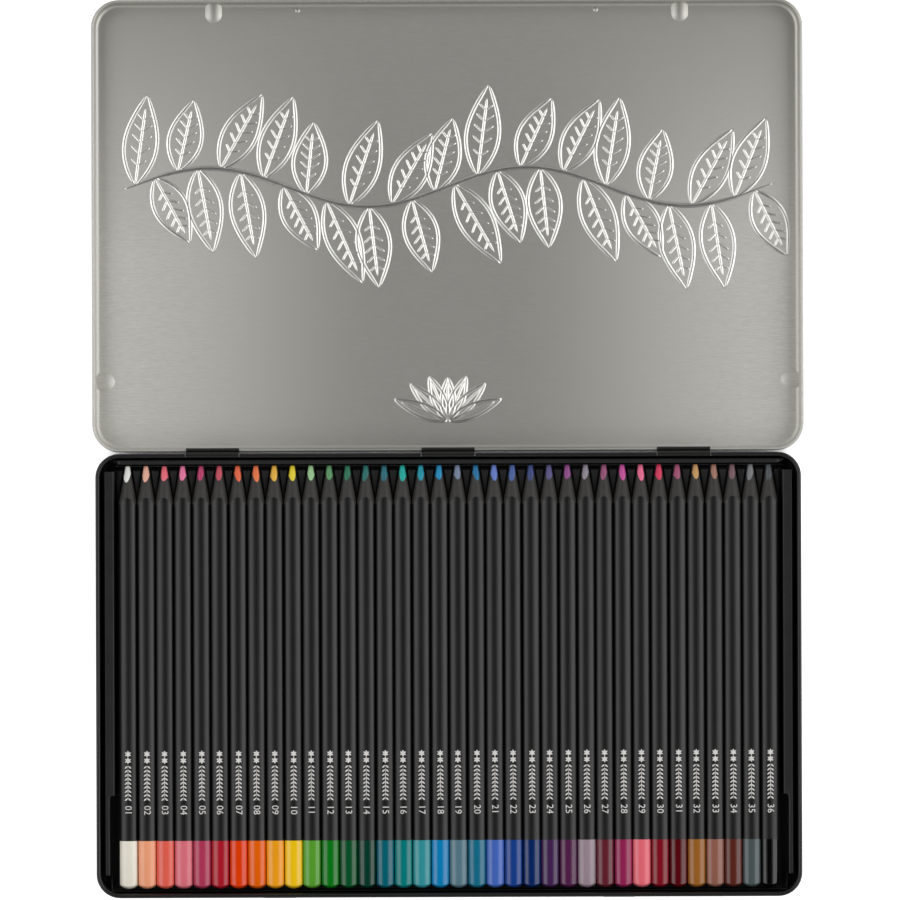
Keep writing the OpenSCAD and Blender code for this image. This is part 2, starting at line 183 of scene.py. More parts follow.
class TinSettings(bpy.types.PropertyGroup):
    pencils: PointerProperty(type=PencilSettings, name="Pencils", description="The row of pencils")
    tray: PointerProperty(type=TraySettings, name="Tray", description="The formed tray")
    lid: PointerProperty(type=LidSettings, name="Lid", description="The lid's pressed leaves")
    stage: PointerProperty(type=StageSettings, name="Stage", description="Camera, floor and lamps")


def in_mm(group):
    """The group's settings by name, with every length turned from metres to millimetres."""
    values = {}
    for key, prop in group.bl_rna.properties.items():
        if prop.type in {"FLOAT", "INT"} and not getattr(prop, "is_array", False):
            value = getattr(group, key)
            values[key] = value / MM if prop.type == "FLOAT" and prop.unit == "LENGTH" else value
    return SimpleNamespace(**values)


# -------- materials


def linear(colour):
    """An sRGB hex colour as linear RGBA."""
    srgb = np.array([int(colour[i : i + 2], 16) for i in (1, 3, 5)]) / 255
    rgb = np.where(srgb <= 0.04045, srgb / 12.92, ((srgb + 0.055) / 1.055) ** 2.4)
    return (*rgb.tolist(), 1.0)


def shifted(colour, factor):
    """A linear colour made a little darker or lighter."""
    return (*[min(1.0, c * factor) for c in colour[:3]], 1.0)


def add(tree, kind, inputs=None, **settings):
    """Adds a shader node, sets its properties, and sets or links its inputs by name or number."""
    node = tree.nodes.new("ShaderNode" + kind)
    for key, value in settings.items():
        setattr(node, key, value)
    for key, value in (inputs or {}).items():
        if isinstance(value, bpy.types.NodeSocket):
            tree.links.new(value, node.inputs[key])
        else:
            node.inputs[key].default_value = value
    return node


def maths(tree, operation, *values):
    """The result of a Math node for numbers or sockets."""
    return add(tree, "Math", dict(enumerate(values)), operation=operation).outputs[0]


def mapped(tree, value, start, stop, low=0.0, high=1.0, kind="LINEAR"):
    """Follows a value: low up to start, then on to high, which it keeps from stop on."""
    inputs = {"Value": value, "From Min": start, "From Max": stop, "To Min": low, "To Max": high}
    node = add(tree, "MapRange", inputs, interpolation_type=kind)
    return node.outputs["Result"]


def between(tree, factor, low, high, data_type="RGBA"):
    """Mixes two colours or two numbers by a factor, and gives the result's socket."""
    node = add(tree, "Mix", data_type=data_type)
    sockets = [s for s in node.inputs if s.enabled and s.name in ("Factor", "A", "B")]
    for socket, value in zip(sockets, (factor, low, high)):
        if isinstance(value, bpy.types.NodeSocket):
            tree.links.new(value, socket)
        else:
            socket.default_value = value
    return next(s for s in node.outputs if s.enabled)


def surface_material(name, **sockets):
    """An empty material with a Principled shader, its plain sockets set."""
    material = bpy.data.materials.new(name)
    material.use_nodes = True
    tree = material.node_tree
    shader = tree.nodes["Principled BSDF"]
    for key, value in sockets.items():
        shader.inputs[key.replace("_", " ")].default_value = value
    return material, tree, shader


def grain(tree, scale, detail=2.0, roughness=0.5):
    """Noise on object coordinates. scale is the number of grains in a metre along X, Y and Z."""
    place = add(tree, "TexCoord").outputs["Object"]
    stretched = add(tree, "Mapping", {"Vector": place, "Scale": scale}).outputs[0]
    inputs = {"Vector": stretched, "Scale": 1.0, "Detail": detail, "Roughness": roughness}
    return add(tree, "TexNoise", inputs).outputs["Fac"]


def bump(tree, shader, height, distance_mm, strength):
    """Raises the shader's normal by a height of 0 to 1 over a distance."""
    inputs = {"Height": height, "Distance": distance_mm * MM, "Strength": strength}
    node = add(tree, "Bump", inputs)
    tree.links.new(node.outputs[0], shader.inputs["Normal"])


def mottled(name, scale, colours, rough, raised=None, detail=2.0, fine=0.5, **sockets):
    """A material with one grain, of a scale, detail and fine roughness. It mixes two colours, and
    two roughnesses where rough is a pair. raised gives the distance and strength of its bump."""
    material, tree, shader = surface_material(name, **sockets)
    fleck = grain(tree, scale, detail, fine)
    tree.links.new(between(tree, fleck, *colours), shader.inputs["Base Color"])
    if isinstance(rough, tuple):
        tree.links.new(between(tree, fleck, *rough, "FLOAT"), shader.inputs["Roughness"])
    else:
        shader.inputs["Roughness"].default_value = rough
    if raised:
        bump(tree, shader, fleck, *raised)
    return material


def stoved_lacquer():
    """Black lacquer rolled onto tinplate and stoved: deep black with a soft, pebbled gloss."""
    colours = linear("#0e0e0d"), linear("#161615")
    return mottled("stoved_black_lacquer", (700, 700, 700), colours, 0.36, (0.02, 0.35), detail=1.0)


def pressed_tinplate():
    """Tinplate drawn over the edges of the die: brighter and smoother than the brushed sheet."""
    colours = linear("#d6d5d0"), linear("#e6e5e0")
    return mottled("die_polished_tinplate", (600, 600, 600), colours, (0.27, 0.35), Metallic=1.0)


def formed_plastic():
    """Black polystyrene sheet, vacuum formed: a dull sheen that is a little uneven."""
    colours = linear("#121214"), linear("#1c1c1e")
    return mottled("formed_black_polystyrene", (260, 260, 260), colours, (0.4, 0.48), (0.03, 0.3))


def barrel_lacquer():
    """Matt black pencil lacquer, drawn on in thin coats: near black with broad, soft highlights."""
    colours = linear("#080707"), linear("#0e0d0d")
    return mottled("matt_black_barrel_lacquer", (900, 45, 900), colours, (0.36, 0.42), (0.01, 0.3))


def dyed_wood():
    """Lime wood dyed black and cut by a sharpener: dull charcoal with a fine straight grain."""
    colours = linear("#131312"), linear("#413f3b")
    scale = (1700, 120, 1700)
    return mottled("black_dyed_wood", scale, colours, 0.62, (0.07, 0.6), detail=3.0, fine=0.7)


def wax_lead(shade, colour):
    """Pressed pigment and wax, cut by a sharpener: full colour with a dull, waxy sheen."""
    colours = shifted(colour, 0.86), shifted(colour, 1.12)
    return mottled("wax_lead_" + shade, (1500, 900, 1500), colours, 0.42, (0.04, 0.4))


def dip_enamel(shade, colour):
    """Glossy enamel that the pencil's end is dipped in: clear colour with sharp reflections."""
    colours = shifted(colour, 0.93), shifted(colour, 1.07)
    return mottled("dip_enamel_" + shade, (140, 60, 140), colours, 0.08, (0.03, 0.25), detail=1.0)


def stamping_foil():
    """Pale stamping foil pressed on the barrel: light grey and satin, a little broken up."""
    colours = linear("#c4c2c0"), linear("#efedea")
    return mottled("pale_stamping_foil", (1400, 1400, 1400), colours, 0.4)


def brushed_tinplate():
    """The lid's tinplate, brushed bare on its inside: a warm grey metal with short fine streaks
    along the tin. Its colour is darker in the middle and paler towards the ends, above all near the
    hinge: painted shade and painted highlight, for how the side lamps light it. It is also rougher
    towards the ends. Its outside was lacquered black before the sheet was stamped.

    A brush leaves lines some 0.1 mm apart. They are drawn about 0.5 mm apart, so that they show."""
    material, tree, shader = surface_material("brushed_tinplate_lacquered_outside", Metallic=1.0)
    streak = grain(tree, (300, 2000, 2000), roughness=0.6)
    place = add(tree, "TexCoord").outputs["Object"]
    x, y, _ = add(tree, "SeparateXYZ", {0: place}).outputs
    ends = mapped(tree, maths(tree, "ABSOLUTE", x), 20 * MM, 150 * MM, kind="SMOOTHSTEP")
    near_hinge = mapped(tree, y, 170 * MM, 270 * MM, 1.0, 0.15)
    ends = maths(tree, "MULTIPLY", ends, near_hinge)
    # painted shade and highlight: the colour is darker in the middle and paler towards the ends and
    # the hinge
    shade = between(tree, ends, linear("#b8b7b1"), linear("#e4e3de"))
    shade = between(tree, streak, shade, linear("#c6c5bf"))
    rough = maths(tree, "MULTIPLY_ADD", streak, 0.04, between(tree, ends, 0.47, 0.66, "FLOAT"))
    lacquered = lid_outside(tree)
    links = {
        "Base Color": between(tree, lacquered, shade, linear("#0f0f0e")),
        "Roughness": between(tree, lacquered, rough, 0.36, "FLOAT"),
        "Metallic": between(tree, lacquered, 1.0, 0.0, "FLOAT"),
    }
    for key, socket in links.items():
        tree.links.new(socket, shader.inputs[key])
    bump(tree, shader, streak, 0.01, 0.25)
    return material


def lid_outside(tree):
    """1 where a face of the lid looks out or down. Out is the way to the face from the plan's core,
    which is the wall's outline drawn in by its corner radius. The rolled edge stays bare metal."""
    wall_x, corner_r = 144.75 * MM, 10.2 * MM
    rolled_edge = 1.15 * MM
    least = 0.01
    low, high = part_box("lid")
    middle, half = (low + high) / 2, (high - low) / 2
    inset = corner_r + high.x - wall_x

    def vector(operation, first, second=(0, 0, 0)):
        inputs = {0: first, 1: second}
        return add(tree, "VectorMath", inputs, operation=operation).outputs[0]

    place = add(tree, "TexCoord").outputs
    offset = vector("SUBTRACT", place["Object"], (middle.x, middle.y, 0))
    core = (half.x - inset, half.y - inset, 1)
    beyond = vector("MAXIMUM", vector("SUBTRACT", vector("ABSOLUTE", offset), core))
    out = vector("NORMALIZE", vector("MULTIPLY", beyond, vector("SIGN", offset)))
    out_or_down = vector("SUBTRACT", out, (0, 0, 1))
    inputs = {0: place["Normal"], 1: out_or_down}
    facing = add(tree, "VectorMath", inputs, operation="DOT_PRODUCT").outputs["Value"]
    looks_out = maths(tree, "GREATER_THAN", facing, least)
    height = add(tree, "SeparateXYZ", {0: place["Object"]}).outputs["Z"]
    below = maths(tree, "LESS_THAN", height, high.z - rolled_edge)
    return maths(tree, "MULTIPLY", looks_out, below)


# -------- meshes


def new_object(name, data):
    """An object in the scene for a mesh, curve, lamp or camera."""
    holder = bpy.data.objects.new(name, data)
    bpy.context.scene.collection.objects.link(holder)
    return holder


def make_object(name, points, faces, materials, slots=None, ring=None, sharp=()):
    """A mesh object from points in millimetres. slots gives the number of each face's material,
    and ring that of each point's ring. An edge inside one of the sharp rings keeps its crease."""
    mesh = bpy.data.meshes.new(name)
    mesh.from_pydata((points * MM).tolist(), [], faces)
    for material in materials:
        mesh.materials.append(material)
    if slots is not None:
        mesh.polygons.foreach_set("material_index", np.asarray(slots, np.int32))
    mesh.shade_smooth()
    if ring is not None and len(sharp):
        ends = np.empty(len(mesh.edges) * 2, np.int32)
        mesh.edges.foreach_get("vertices", ends)
        first, second = ring[ends[0::2]], ring[ends[1::2]]
        mesh.edges.foreach_set("use_edge_sharp", (first == second) & np.isin(first, sharp))
    mesh.update()
    return new_object(name, mesh)


def outward(points, faces):
    """A closed surface's faces, turned to point outwards. The signed volume inside them is a sixth
    of the sum of their fans, and it is negative where they point inwards."""
    total = 0.0
    for size in {len(f) for f in faces}:
        group = np.array([f for f in faces if len(f) == size])
        for k in range(1, size - 1):
            a, b, c = points[group[:, 0]], points[group[:, k]], points[group[:, k + 1]]
            total += np.einsum("ij,ij->", a, np.cross(b, c)) / 6
    return [f[::-1] for f in faces] if total < 0 else faces


def joined(parts):
    """The points and faces of several meshes as one mesh's."""
    points, faces, count = [], [], 0
    for some_points, some_faces in parts:
        points.append(some_points)
        faces += [[v + count for v in f] for f in some_faces]
        count += len(some_points)
    return np.vstack(points), faces


def tube_faces(rings, columns):
    """Quads between rings of points that are closed round, with a fan to a pole at each end.

    The points are the first pole, the rings one after another, and the last pole."""
    index = 1 + np.arange(rings * columns).reshape(rings, columns)
    beside = np.roll(index, -1, axis=1)
    quads = np.stack([index[:-1], beside[:-1], beside[1:], index[1:]], -1).reshape(-1, 4)
    last = np.full(columns, 1 + rings * columns)
    fan_in = np.stack([0 * last, beside[0], index[0]], -1)
    fan_out = np.stack([last, index[-1], beside[-1]], -1)
    return fan_in.tolist() + quads.tolist() + fan_out.tolist()


def tube(name, first, rings, last, materials, ring_slots=None, sharp=()):
    """A closed tube: a pole, rings of points, and a pole. ring_slots gives each band's material,
    from the first fan to the last, and sharp the numbers of the rings that keep a crease."""
    rows, columns, _ = rings.shape
    points = np.vstack([first, rings.reshape(-1, 3), last])
    faces = outward(points, tube_faces(rows, columns))
    ring = np.concatenate([[-1], np.repeat(np.arange(rows), columns), [-2]])
    slots = None if ring_slots is None else np.repeat(ring_slots, columns)
    return make_object(name, points, faces, materials, slots, ring, sharp)


def hand_over(piece, body, slot, *nodes):
    """Lets a finished piece move with its body and stand for the nodes it replaces."""
    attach(piece, body)
    if nodes:
        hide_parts(*nodes)


# -------- pencils


def face_arc(p):
    """The arc of a barrel's face: how far its centre lies past the axis, and its radius. It meets
    the corners' arcs smoothly."""
    corner_at, short = p.corner_dist - p.corner_r, p.face_dist - p.corner_r
    centre = (corner_at**2 - short**2) / (2 * short - corner_at)
    return centre, centre + p.face_dist


def barrel_radius(p, grow=0.0):
    """Distance from the axis to the barrel's outline at each angle. The outline is a triangle of
    three shallow arcs, one face up, whose corners are arcs that meet the faces smoothly."""
    angle = BARREL_ANGLES
    corner_at = p.corner_dist - p.corner_r
    face_at, face_r = face_arc(p)
    reach = face_r / (face_r - p.corner_r)
    touch = np.array([corner_at * cos(pi / 6), corner_at * sin(pi / 6) + face_at]) * reach
    touch_angle = np.arctan2(touch[1] - face_at, touch[0]) - pi / 6
    third = 2 * pi / 3

    def nearest(first):
        return np.round((angle - first) / third) * third + first

    def to_circle(turn, centre, radius):
        along = centre * np.cos(angle - turn)
        across = centre * np.sin(angle - turn)
        return along + np.sqrt(np.maximum((radius + grow) ** 2 - across**2, 0))

    turn = nearest(pi / 6)
    corner = to_circle(turn, corner_at, p.corner_r)
    face = to_circle(nearest(pi / 2) + pi, face_at, face_r)
    return np.where(np.abs(angle - turn) < abs(touch_angle), corner, face)


class Pencil:
    """One pencil's place: its axis, its roll, and where its lead lies off the point's axis."""

    def __init__(self, settings, number):
        def spread(times):
            """A number from -1 to 1 that jumps about from one pencil to the next."""
            return sin(radians(times * GOLDEN * number))

        p = self.p = in_mm(settings)
        self.number = number
        self.x = (number - (p.count + 1) / 2) * p.pitch
        self.tip_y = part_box(self.node_name(number))[1].y / MM
        self.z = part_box("base_tin")[0].z / MM + AXIS_Z
        self.roll = p.roll * spread(1)
        self.lead_x = 0.14 * spread(2)
        self.lead_y = p.lead_rise + 0.06 * spread(3)
        self.lead_turn = 0.9 * spread(5)

    @staticmethod
    def node_name(number):
        return f"pencil_{number:02d}"

    def place(self, x, up, along):
        """Points from across, up and distance from the tip, rolled and laid in the tray."""
        across = x * cos(self.roll) - up * sin(self.roll)
        height = x * sin(self.roll) + up * cos(self.roll)
        across, height, along = np.broadcast_arrays(across, height, along)
        return np.stack([self.x + across, self.tip_y - along, self.z + height], -1)

    def tube(self, kind, first, radius, along, last, *finish):
        """A tube with rings at the barrel's angles, between two poles, in the pencil's place."""
        x, up = radius * np.cos(BARREL_ANGLES), radius * np.sin(BARREL_ANGLES)
        first, rings, last = self.place(*first), self.place(x, up, along), self.place(*last)
        return tube(f"{kind}_{self.number:02d}", first, rings, last, *finish)

    def lead_distance(self, radius):
        """Distance from the point's axis to a circle round the lead's own axis, drawn out a little
        in three directions, as a worn blade cuts it: times 1 + 0.06 * cos(3 * turn)."""
        angle = BARREL_ANGLES
        along = self.lead_x * np.cos(angle) + self.lead_y * np.sin(angle)
        distance = along + np.sqrt(radius**2 - self.lead_x**2 - self.lead_y**2 + along**2)
        return distance * (1 + 0.06 * np.cos(3 * (angle - pi / 2) + self.lead_turn))

    def cone_at(self, radius):
        """Distance from the tip at which the sharpened cone reaches a radius."""
        return (radius - self.p.tip_r) / self.p.taper


def make_barrel(pencil, materials):
    """The wood: a bore round the lead, the cut cone from the bore's edge to the barrel's outline,
    and the barrel. A ring lies on each edge, so the cone meets each face in a clean scallop."""
    p = pencil.p
    outline = barrel_radius(p)
    bore = pencil.lead_distance(p.lead_r + BORE_GAP)
    start, stop = pencil.cone_at(bore), pencil.cone_at(outline)
    end = p.length - DIP_WALL
    cone_s = start + (stop - start) * np.linspace(0, 1, 9)[:, None]
    cone_r = p.tip_r + p.taper * cone_s
    body_s = stop + (end - stop) * np.array([0.02, 0.2, 0.5, 0.8, 1.0])[:, None]
    along = np.vstack([np.full_like(outline, BORE_END), cone_s, body_s])
    radius = np.vstack([bore, cone_r, np.repeat(outline[None], len(body_s), 0)])
    lacquer, wood = 0, 1
    bands = [wood] * (len(cone_s) + 1) + [lacquer] * (len(body_s) + 1)
    edges = (0, 1, len(cone_s), len(cone_s) + len(body_s))
    inner, outer = (pencil.lead_x, pencil.lead_y, BORE_END), (0.0, 0.0, end)
    return pencil.tube("barrel", inner, radius, along, outer, materials, bands, edges)


def make_lead(pencil, material):
    """The lead: a flat tip, its rounded edge, and the cone out to the bore's edge, where it goes
    on as a rod inside the wood."""
    p = pencil.p
    edge = pencil.lead_distance(p.lead_r)
    stop = pencil.cone_at(edge)
    chamfer, rod_end = 0.25, BORE_END - 0.5
    cone_s = chamfer + (stop - chamfer) * np.linspace(0, 1, 7)[:, None]
    cone_r = p.tip_r + p.taper * cone_s
    rounded = np.linspace(0, 1, 4)[:-1, None] * pi / 2
    tip_ring_r = p.tip_r - chamfer + chamfer * np.sin(rounded) + 0 * edge
    tip_ring_s = chamfer * (1 - np.cos(rounded)) + 0 * edge
    radius = np.vstack([tip_ring_r, cone_r, edge])
    along = np.vstack([tip_ring_s, cone_s, np.full_like(edge, rod_end)])
    tip, rod = (0.0, 0.0, 0.0), (pencil.lead_x, pencil.lead_y, rod_end)
    edges = (len(radius) - 2, len(radius) - 1)
    return pencil.tube("lead", tip, radius, along, rod, [material], None, edges)


def make_dip(pencil, material):
    """The dip: the barrel's outline grown by the coat, with a thin rounded lip where it starts, and
    a shallow dome over the end: at distance r from the axis it lies sqrt(R*R - r*r) past the dome's
    centre. A small arc joins side and dome."""
    p = pencil.p
    outline = barrel_radius(p, p.dip_coat)
    begin = p.length - p.dip_len
    centre = p.length - p.dome_r
    lip = np.array([[0.0, -0.06], [0.0, -0.03], [0.03, -0.008], [0.09, 0.0]])
    lip_s = begin + lip[:, :1] + 0 * outline
    lip_r = outline + lip[:, 1:]
    dome_start, shoulder = 0.34, 0.42
    dome_r = outline * np.cos(np.linspace(dome_start, pi / 2, 9)[:-1])[:, None]
    dome_s = centre + np.sqrt(p.dome_r**2 - dome_r**2)
    corner_s = centre + np.sqrt(p.dome_r**2 - outline**2)
    t = np.linspace(0, 1, 5)[:, None]

    def arc(start, corner, stop):
        return (1 - t) ** 2 * start + 2 * t * (1 - t) * corner + t**2 * stop

    arc_r = arc(outline, outline, dome_r[0])
    arc_s = arc(dome_s[0] - shoulder, corner_s, dome_s[0])
    radius = np.vstack([lip_r, arc_r, dome_r[1:]])
    along = np.vstack([lip_s, arc_s, dome_s[1:]])
    start, end = (0.0, 0.0, begin), (0.0, 0.0, p.length)
    return pencil.tube("dip", start, radius, along, end, [material])


def leaf_outlines(centres, directions, long, wide):
    """Pointed ovals, one for each centre: across the direction they are wide * sin(pi t)."""
    t = np.linspace(0, 1, 10)
    side = wide / 2 * np.sin(pi * t)
    along = np.concatenate([t, t[-2:0:-1]]) * long
    across = np.concatenate([side, -side[-2:0:-1]])
    c, s = np.cos(directions)[:, None], np.sin(directions)[:, None]
    x = centres[:, :1] + along * c - across * s
    y = centres[:, 1:] + along * s + across * c
    return np.stack([x, y], -1)


def figure_outlines(text, size, at):
    """A number's flat mesh, cut into strips so that it can bend. It reads down the barrel."""
    curve = bpy.data.curves.new("figure", "FONT")
    curve.body = text
    curve.align_x, curve.align_y = "CENTER", "CENTER"
    curve.resolution_u = 3
    holder = new_object("figure", curve)
    bpy.context.view_layer.update()
    mesh = bpy.data.meshes.new_from_object(holder)
    cut = bmesh.new()
    cut.from_mesh(mesh)
    for line in np.linspace(-0.4, 0.4, 9):
        whole = cut.verts[:] + cut.edges[:] + cut.faces[:]
        bmesh.ops.bisect_plane(cut, geom=whole, plane_co=(0, line, 0), plane_no=(0, 1, 0))
    cut.to_mesh(mesh)
    cut.free()
    points = np.empty(len(mesh.vertices) * 3)
    mesh.vertices.foreach_get("co", points)
    faces = [list(f.vertices) for f in mesh.polygons]
    bpy.data.objects.remove(holder)
    bpy.data.curves.remove(curve)
    bpy.data.meshes.remove(mesh)
    return points.reshape(-1, 3)[:, :2] * size + at, faces


def slab(count, faces):
    """Closes flat faces on count points into a thin slab: a lower copy of them, turned over, and a
    wall along every edge that only one face has."""
    edges = [(f[i], f[(i + 1) % len(f)]) for f in faces for i in range(len(f))]
    seen = set(edges)
    walls = [[b, a, a + count, b + count] for a, b in edges if (b, a) not in seen]
    lower = [[v + count for v in f[::-1]] for f in faces]
    return faces + lower + walls


def foil_marks(number):
    """The foil's flat design, along the barrel and across it: two small blossoms, a row of leaf
    pairs on a stem, and the pencil's number."""
    blossoms = np.repeat([[1.4, 0.0], [4.1, 0.0]], 6, axis=0)
    petal_turns = np.tile(np.arange(6) * pi / 3, 2)
    stem = np.linspace(6.2, 19.4, 9)
    pairs = np.column_stack([np.repeat(stem, 2), np.tile([0.06, -0.06], len(stem))])
    pair_turns = np.tile([0.85, -0.85], len(stem))
    shapes = [
        leaf_outlines(blossoms, petal_turns, 1.4, 0.72),
        leaf_outlines(pairs, pair_turns, 1.75, 0.62),
        leaf_outlines(np.array([[5.9, 0.0]]), np.array([0.0]), 15.0, 0.3),
    ]
    parts = [(s.reshape(-1, 2), np.arange(s.size // 2).reshape(s.shape[:2])) for s in shapes]
    parts.append(figure_outlines(f"{number:02d}", 3.9, np.array([24.4, 0.0])))
    return joined(parts)


def make_foil(pencil, material):
    """The foil marks, laid on the upper face's arc as thin slabs that are sunk into the barrel."""
    flat, faces = foil_marks(pencil.number)
    face_at, face_r = face_arc(pencil.p)
    along, across = FOIL_START + flat[:, 0], flat[:, 1]
    up = np.sqrt(face_r**2 - across**2) - face_at
    points = np.vstack([pencil.place(across, up + lift, along) for lift in (0.03, -0.05)])
    faces = outward(points, slab(len(flat), faces))
    piece = make_object(f"foil_{pencil.number:02d}", points, faces, [material])
    piece.data.shade_flat()
    return piece


# -------- tray


def soft_min(a, b, reach):
    """The smaller of two values, rounded within a reach of where they meet."""
    h = np.clip(0.5 + 0.5 * (b - a) / reach, 0, 1)
    return b + (a - b) * h - reach * h * (1 - h)


def soft_max(a, b, reach):
    """The larger of two values, rounded where they meet."""
    return -soft_min(-a, -b, reach)


def ramp(value, start, stop):
    """0 before start and 1 after stop, with a straight line between."""
    return np.clip((value - start) / (stop - start), 0, 1)


class TrayForm:
    """The tray's upper face as a height over its plan.

    Columns follow the ridges: each is a ridge's middle and a place across it, from 0 at the middle,
    1 at the edge of its top and 2 at its foot to 3 at the groove's middle. Towards the lead tips
    the ridges widen, and the columns with them. OUTER are the columns beyond the last ridge's
    middle, and ROWS run from the front to the hinge. They lie close where the height bends."""

    ACROSS = np.array([0, 0.55, 0.85, 1.0, 1.08, 1.2, 1.5, 1.8, 1.93, 2.05, 2.3, 3.0])
    OUTER = np.array([
        0.309, 0.45, 0.7, 1.0, 1.3, 1.5, 1.62, 1.75, 1.84, 1.92, 1.98, 2.1, 2.29, 2.34, 2.5, 2.66,
        2.8, 2.9, 3.0, 3.1, 3.2, 3.4, 3.55, 3.7, 3.8, 3.88, 3.92, 4.0, 4.2, 4.62, 4.7, 4.75, 4.8,
        5.1, 5.35, 5.5, 5.6, 5.65,
    ])
    ROWS = np.array([
        -88.5, -88.48, -88.4, -88.2, -88.1, -87.9, -87.6, -87.2, -86.8, -86.5, -81.9, -81.7,
        -81.66, -81.5, -81.2, -70.0, -50.6, -50.3, -50.0, -49.8, -49.6, -49.45, -49.3, -49.2,
        -49.1, -49.0, -48.9, -48.8, -48.6, -48.2, -20.0, 20.0, 60.0, 72.1, 74.0, 77.0, 80.0, 82.0,
        83.0, 83.3, 83.5, 83.57, 83.6, 83.8, 84.0, 84.2, 84.5, 84.9, 85.3, 85.5, 85.502, 85.52,
        85.56, 85.63, 85.7, 85.77, 85.84, 85.88, 85.898, 85.9, 86.1, 86.36, 86.4, 86.46, 86.6,
        86.75, 87.5, 87.92, 88.1, 88.22, 88.27,
    ])
    # Places and sizes in the plan, in millimetres from the tin's middle
    FOOT_W = 2.076  # half the width of a ridge's foot
    FLANGE_X = 136.89  # inner edge of the side flanges
    REAR_X = 137.29  # ends of the rear ledge
    FRONT_X = 138.55  # side of the narrower front part
    LEDGE_X = 138.9  # inner edge of the ledges beside the trough
    EDGE_X = 140.65  # side of the tray
    FRONT_Y, LEDGE_Y, TROUGH_Y = -88.5, -81.7, -48.9
    FLANGE_Y = (-49.1, 83.6)  # front and rear end of the side flanges
    WIDEN_Y = (72.1, 84.0)  # where the ridges widen
    LIP_Y = (87.9, 88.2)  # foot and top of the lip at the tray's front, from the middle
    NOSE_Y = 83.9  # where the ridges fall away behind the points
    BACK_Y, REAR_Y = 86.4, 88.27  # front and rear edge of the rear ledge
    RIB_Y, RIB_Z, RIB_R = 85.7, 4.6, 0.2  # the low rib's middle, its height and its radius
    RECESS_X, RECESS_Y, RECESS_R = 137.2, -50.6, 1.7  # middle and radius of the recess's corner
    RECESS_END = (139.2, -49)
    TOUCH = 1e-6  # slack at an edge

    def __init__(self, settings, count, pitch):
        self.s = in_mm(settings)
        self.pitch = pitch
        ridges = np.arange(count + 1) * pitch - count * pitch / 2
        half = np.concatenate([-self.ACROSS[::-1], self.ACROSS[1:]])
        centre, across = np.repeat(ridges, len(half)), np.tile(half, count + 1)
        keep = across > -self.ACROSS[-1]  # a groove's middle belongs to one ridge
        keep &= (centre > ridges[0]) | (across >= -1)
        keep &= (centre < ridges[-1]) | (across <= 1)
        self.centre, self.across = centre[keep], across[keep]
        self.side = ridges[-1]

    def half_widths(self, y):
        """Half widths of a ridge's top and foot: constant, then widening towards the tips. The
        third value is how far the top's edges are rounded."""
        grow = ramp(y, *self.WIDEN_Y)
        top = self.s.ridge_w + (self.s.ridge_end_w - self.s.ridge_w) * grow
        return top, np.maximum(self.FOOT_W, top + 0.85), 0.5 + 0.9 * grow

    def plan(self):
        """x and y of every grid point."""
        y = self.ROWS[:, None]
        top, foot, _ = self.half_widths(y)
        t = np.abs(self.across)
        middle = self.pitch / 2
        slope_x, groove_x = top + (t - 1) * (foot - top), foot + (t - 2) * (middle - foot)
        reach = np.where(t <= 1, t * top, np.where(t <= 2, slope_x, groove_x))
        inner = self.centre + np.sign(self.across) * reach
        outer = self.side + self.OUTER[1:] + 0 * y
        # the front corners follow the tin's: an ellipse's quarter, reach wide and depth long
        side, reach, depth = 138.5, 1.6, 2.0
        fall = np.clip((self.FRONT_Y + depth - y) / depth, 0, 1)
        corner = side - reach + reach * np.sqrt(1 - fall**2)
        start = side - 2
        squeeze = (corner - start) / (side - start)
        outer = np.where(outer > start, start + (outer - start) * squeeze, outer)
        x = np.hstack([-outer[:, ::-1], inner, outer])
        return x, np.broadcast_to(y, x.shape)

    def row_height(self, x, y):
        """Height of the ridges and grooves, which fall away in a nose behind the points, the low
        rib behind the nose, and the trough in front with its lip."""
        s, nose_slope = self.s, 1.75
        top, foot, rounding = self.half_widths(y)
        ridge = np.round(np.clip(x, -self.side, self.side) / self.pitch) * self.pitch
        distance = np.abs(x - ridge)
        slope = (s.ridge_z - s.groove_z) / (foot - top)
        z = soft_min(s.ridge_z - (distance - top) * slope, s.ridge_z, rounding)
        z = soft_max(z, s.groove_z, 0.5)
        nose = s.ridge_z - (y - self.NOSE_Y) * nose_slope
        z = soft_max(soft_min(z, nose, 0.6), s.groove_z, 0.35)
        rib = np.sqrt(np.maximum(self.RIB_R**2 - (y - self.RIB_Y) ** 2, 0))
        z = np.where(rib > 0, np.maximum(z, self.RIB_Z + rib), z)
        floor = s.foot_z + s.sheet
        drop = ramp(y, self.TROUGH_Y - 0.35, self.TROUGH_Y)
        z = np.where(y < self.TROUGH_Y, floor + (z - floor) * drop, z)
        lip = ramp(-y, *self.LIP_Y) * (s.ridge_z - floor)
        trough = y < self.TROUGH_Y - 11.1
        z = np.where(trough, floor + soft_min(lip, s.ridge_z - floor + 0 * lip, 0.3), z)
        return np.where(y <= self.FRONT_Y, s.foot_z, z)

    def flat_top(self, a, b, a0, a1, b0, b1=np.inf):
        """Height of a flat top whose edges are rounded by a quarter circle."""
        r = self.s.edge_r
        inset = np.minimum(np.minimum(a - a0, a1 - a), np.minimum(b - b0, b1 - b))
        depth = np.clip(r - inset, 0, r)
        return self.s.flange_z - (r - np.sqrt(r**2 - depth**2))

